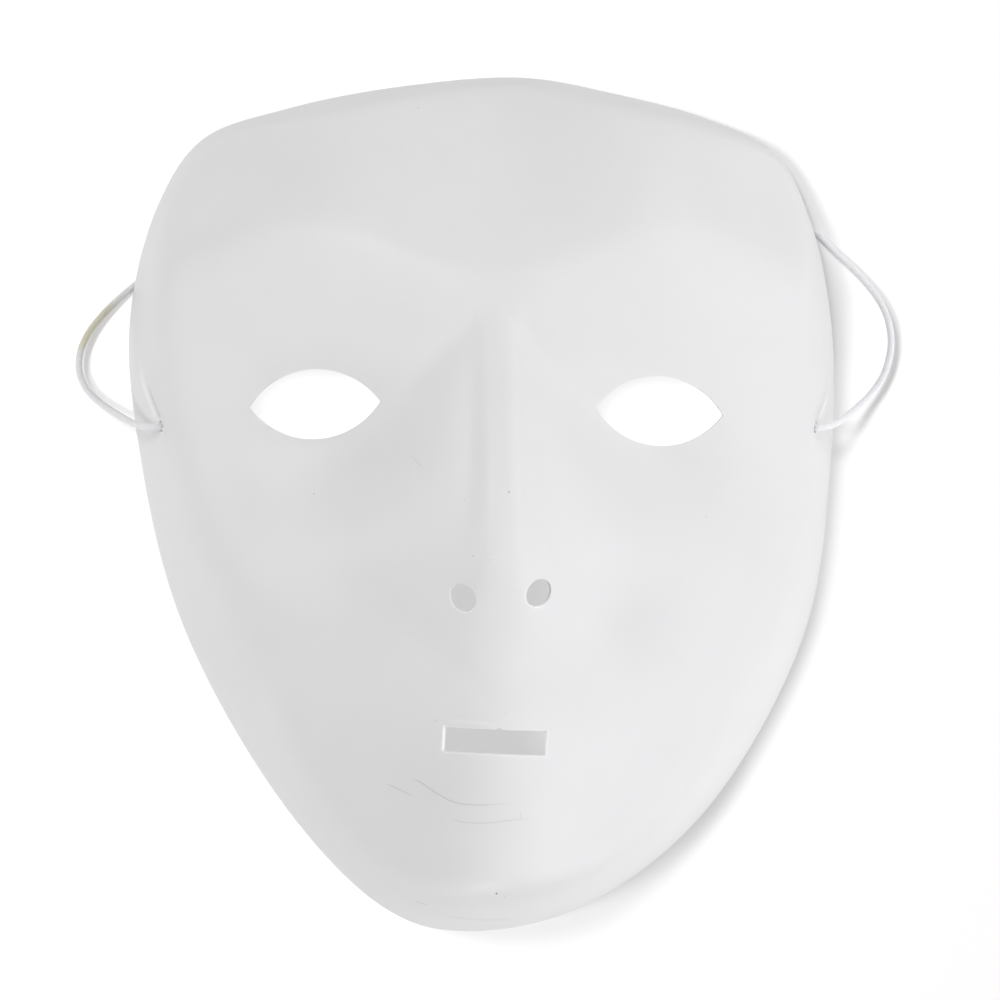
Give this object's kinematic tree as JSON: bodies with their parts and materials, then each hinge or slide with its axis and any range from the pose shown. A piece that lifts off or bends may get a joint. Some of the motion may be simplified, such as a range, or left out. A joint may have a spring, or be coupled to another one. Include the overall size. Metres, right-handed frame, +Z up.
{
  "type": "craft mask",
  "caption": "Plain white full-face craft mask, thermoformed from one thin sheet, with punched eyes, nostrils and mouth and a thin elastic, lying face up.",
  "frame": {"origin": "on the table, under the middle of the mask's rim box (cord left out)", "axes": "+Z up out of the face as the mask lies on its rim, +Y from the chin to the forehead, +X to the viewer's right"},
  "size_m": [0.2007, 0.2101, 0.0687],
  "materials": {
    "white_sheet": "thermoformed white plastic sheet, satin, slightly translucent",
    "elastic": "covered round elastic, off-white"
  },
  "bodies": {
    "root": {"mask_shell": "white_sheet", "elastic_cord": "elastic", "knot_left": "elastic", "knot_right": "elastic"}
  },
  "joints": []
}
